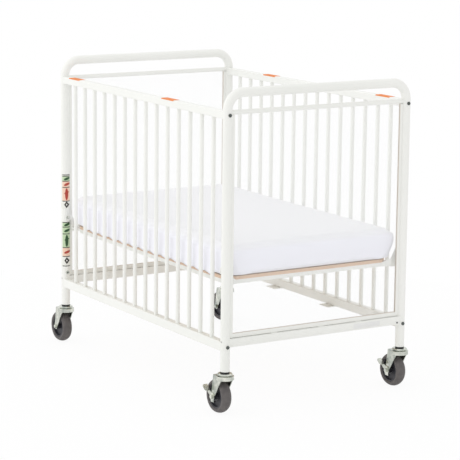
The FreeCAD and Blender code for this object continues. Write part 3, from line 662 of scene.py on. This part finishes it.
def sheet_mesh(cushion):
    """The cushion's faces, without the middle of its underside, laid one gap further out, with faint
    puckers that fade upwards from the lower edge: the mean of three sines along the way round."""
    mesh = cushion.copy()
    mesh.name = "fitted_sheet"
    shape = bmesh.new()
    shape.from_mesh(mesh)
    bmesh.ops.recalc_face_normals(shape, faces=shape.faces)
    inner_x = mattress_half.x - hem_depth
    inner_y = mattress_half.y - hem_depth
    under = []
    for face in shape.faces:
        away = face.calc_center_median() - mattress_middle
        if face.normal.z < under_normal and abs(away.x) < inner_x and abs(away.y) < inner_y:
            under.append(face)
    bmesh.ops.delete(shape, geom=under, context="FACES")
    shape.to_mesh(mesh)
    shape.free()
    points = mesh_points(mesh)
    normals = mesh_normals(mesh)
    rise = (points[:, 2] - mattress_low.z) / (2 * mattress_half.z)
    fade = (1.0 - rise / pucker_rise_share).clip(0.0, 1.0) ** 2 * (1.0 - np.abs(normals[:, 2]))
    walk = points[:, 0] - points[:, 1]
    pucker = sum(np.sin(walk * count + start) for count, start in pucker_waves) / len(pucker_waves)
    reach = sheet_gap + pucker_height * fade * pucker
    points = points + normals * reach[:, None]
    put_points(mesh, points)
    add_weave_map(mesh)
    return mesh


def add_weave_map(mesh):
    """UV map in metres: each face seen straight on along its main axis."""
    corners = np.empty(len(mesh.loops), dtype=np.int32)
    mesh.loops.foreach_get("vertex_index", corners)
    normals = np.empty(len(mesh.polygons) * 3)
    mesh.polygons.foreach_get("normal", normals)
    totals = np.empty(len(mesh.polygons), dtype=np.int32)
    mesh.polygons.foreach_get("loop_total", totals)
    facing = np.abs(normals.reshape(-1, 3)).argmax(axis=1).repeat(totals)
    points = mesh_points(mesh)[corners]
    across = np.where(facing == 0, points[:, 1], points[:, 0])
    along = np.where(facing == 2, points[:, 1], points[:, 2])
    layer = mesh.uv_layers.new(name="cloth")
    layer.data.foreach_set("uv", np.stack([across, along], axis=-1).ravel())


def seam_mesh(sheet):
    """Sewn ridges down the sheet's four corners: rings of thin tubes along the line where a plane through
    the corner cuts the sheet."""
    tree = BVHTree.FromPolygons([vertex.co for vertex in sheet.vertices],
                                [polygon.vertices[:] for polygon in sheet.polygons])
    tubes = []
    circle = np.radians(np.linspace(0.0, 360.0, seam_sides + 1)[:-1])
    heights = np.linspace(mattress_low.z + seam_foot_gap, mattress_high.z - seam_head_gap, seam_points)
    for sign_x, sign_y in ((1, 1), (-1, 1), (-1, -1), (1, -1)):
        inward = Vector((-sign_x, -sign_y, 0)).normalized()
        start = Vector((mattress_middle.x + sign_x * (mattress_half.x - cushion_low_corner),
                        mattress_middle.y + sign_y * (mattress_half.y - cushion_low_corner), 0))
        start -= inward * seam_reach
        hits = [tree.ray_cast(start + Vector((0, 0, z)), inward)[0] for z in heights]
        line = np.array([point for point in hits if point])
        side = np.array((inward.y, -inward.x, 0.0))
        out = -np.array(inward)
        ring = np.cos(circle)[:, None] * side + np.sin(circle)[:, None] * out
        tubes.append(line[:, None, :] + seam_radius * ring)
    return tubes


def dress_mattress(finishes):
    """Mattress, its fitted sheet and the sheet's corner seams, in place of the plain solid."""
    cushion = filled_mesh(closed_mesh("mattress_cushion", cushion_form()))
    sheet = sheet_mesh(cushion)
    cushion_piece = piece_from("mattress_cushion", cushion, finishes["sheet"])
    sheet_piece = piece_from("fitted_sheet", sheet, finishes["sheet"])
    pieces = [cushion_piece, sheet_piece]
    for index, tube in enumerate(seam_mesh(sheet)):
        name = f"sheet_seam_{index + 1}"
        pieces.append(piece_from(name, closed_mesh(name, tube), finishes["sheet"]))
    thick = sheet_piece.modifiers.new("thickness", "SOLIDIFY")
    thick.thickness = sheet_thickness
    thick.offset = 1.0
    smooth = sheet_piece.modifiers.new("smoothing", "SUBSURF")
    smooth.levels = 1
    smooth.render_levels = 1
    for piece in pieces:
        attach(piece, "mattress")
    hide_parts("mattress")
    sheet_area(sheet)


def sheet_area(mesh):
    """Area of cloth in the sheet, one side."""
    areas = np.empty(len(mesh.polygons))
    mesh.polygons.foreach_get("area", areas)
    return float(areas.sum())


def place_camera():
    data = bpy.data.cameras.new("camera")
    data.sensor_width = sensor_width
    data.lens = focal_pixels / frame_pixels * sensor_width
    data.shift_x = -principal_pixels[0] / frame_pixels
    data.shift_y = principal_pixels[1] / frame_pixels
    data.clip_start, data.clip_end = camera_reach
    azimuth = math.radians(camera_azimuth)
    elevation = math.radians(camera_elevation)
    roll = math.radians(camera_roll)
    back = Vector((math.sin(azimuth) * math.cos(elevation), -math.cos(azimuth) * math.cos(elevation),
                   math.sin(elevation)))
    level = Vector((math.cos(azimuth), math.sin(azimuth), 0))
    upright = back.cross(level)
    right = level * math.cos(roll) + upright * math.sin(roll)
    up = upright * math.cos(roll) - level * math.sin(roll)
    camera = bpy.data.objects.new("camera", data)
    turn = Matrix((right, up, back)).transposed().to_4x4()
    camera.matrix_world = Matrix.Translation(post_middle + camera_place) @ turn
    bpy.context.scene.collection.objects.link(camera)
    bpy.context.scene.camera = camera


def seen_rays(tree):
    """1 for the camera's rays and those that mirrors and clear sheets pass on, 0 for the rest."""
    path = tree.nodes.new("ShaderNodeLightPath")
    total = path.outputs["Is Camera Ray"]
    for kind in ("Is Glossy Ray", "Is Transmission Ray"):
        larger = tree.nodes.new("ShaderNodeMath")
        larger.operation = "MAXIMUM"
        tree.links.new(total, larger.inputs[0])
        tree.links.new(path.outputs[kind], larger.inputs[1])
        total = larger.outputs[0]
    return total


# Light and floor: each lamp's name, place, width and power in watts
world_light = 0.985
world_dim_light = 0.845
world_dim_start = -0.2
lamps = (
    ("front lamp", Vector((-1.8, -4.2, 2.8)), 6.0, 42.0),
    ("top lamp", Vector((0, 0, 4.4)), 5.0, 6.0),
)
lamp_aim = post_middle + Vector((0, 0, 0.5))
floor_radius = 9.0
floor_white_start = 0.9
floor_white_end = 1.6
floor_glow_share = 0.15
floor_seen_share = 0.78


def dim_side_share(tree):
    """0 for light from the left of the photograph's view, rising evenly to 1 for light from its right."""
    azimuth = math.radians(camera_azimuth)
    direction = tree.nodes.new("ShaderNodeTexCoord")
    along = tree.nodes.new("ShaderNodeVectorMath")
    along.operation = "DOT_PRODUCT"
    along.inputs[1].default_value = (math.cos(azimuth), math.sin(azimuth), 0.0)
    tree.links.new(direction.outputs["Generated"], along.inputs[0])
    share = tree.nodes.new("ShaderNodeMapRange")
    share.inputs["From Min"].default_value = world_dim_start
    tree.links.new(along.outputs["Value"], share.inputs["Value"])
    return share.outputs[0]


def light_studio():
    """White surroundings that dim a little to the right, a broad lamp to the front, a faint one above."""
    scene = bpy.context.scene
    scene.view_settings.view_transform = "Standard"
    world = bpy.data.worlds.new("studio")
    scene.world = world
    world.use_nodes = True
    nodes, links = world.node_tree.nodes, world.node_tree.links
    nodes.clear()
    output = nodes.new("ShaderNodeOutputWorld")
    mix = nodes.new("ShaderNodeMixShader")
    bright, dim, shown = [nodes.new("ShaderNodeBackground") for _ in range(3)]
    for background, strength in ((bright, world_light), (dim, world_dim_light), (shown, 1.0)):
        background.inputs["Strength"].default_value = strength
        background.inputs["Color"].default_value = (1.0, 1.0, 1.0, 1.0)
    lit = nodes.new("ShaderNodeMixShader")
    links.new(dim_side_share(world.node_tree), lit.inputs[0])
    links.new(bright.outputs[0], lit.inputs[1])
    links.new(dim.outputs[0], lit.inputs[2])
    links.new(seen_rays(world.node_tree), mix.inputs[0])
    links.new(lit.outputs[0], mix.inputs[1])
    links.new(shown.outputs[0], mix.inputs[2])
    links.new(mix.outputs[0], output.inputs[0])
    for name, place, size, power in lamps:
        data = bpy.data.lights.new(name, "AREA")
        data.size = size
        data.energy = power
        lamp = bpy.data.objects.new(name, data)
        turn = (lamp_aim - place).to_track_quat("-Z", "Y")
        lamp.matrix_world = Matrix.Translation(place) @ turn.to_matrix().to_4x4()
        scene.collection.objects.link(lamp)


def lay_floor():
    """Pale floor that keeps the crib's shadow and melts into white away from it."""
    size = floor_radius
    mesh = bpy.data.meshes.new("floor")
    mesh.from_pydata([(-size, -size, 0), (size, -size, 0), (size, size, 0), (-size, size, 0)], [],
                     [(0, 1, 2, 3)])
    floor = bpy.data.objects.new("floor", mesh)
    bpy.context.scene.collection.objects.link(floor)
    finish = Finish("pale floor", roughness=0.9, specular_ior_level=0.0,
                    base_color=(0.93, 0.93, 0.93, 1.0))
    x, y, _ = finish.axes()
    distance = ((x * x) + (y * y)) ** 0.5
    seen = Signal(finish, seen_rays(finish.tree))
    away = distance.soft(floor_white_start, floor_white_end)
    near_share = floor_glow_share + floor_seen_share * seen
    glow = finish.tree.nodes.new("ShaderNodeEmission")
    glow.inputs["Strength"].default_value = 1.0
    mix = finish.tree.nodes.new("ShaderNodeMixShader")
    finish.feed(mix.inputs[0], near_share.larger(away * seen))
    finish.tree.links.new(finish.shader.outputs[0], mix.inputs[1])
    finish.tree.links.new(glow.outputs[0], mix.inputs[2])
    finish.tree.links.new(mix.outputs[0], finish.output.inputs[0])
    mesh.materials.append(finish.material)


finishes = paint_frame_nodes()
place_camera()
light_studio()
lay_floor()
dress_mattress(finishes)
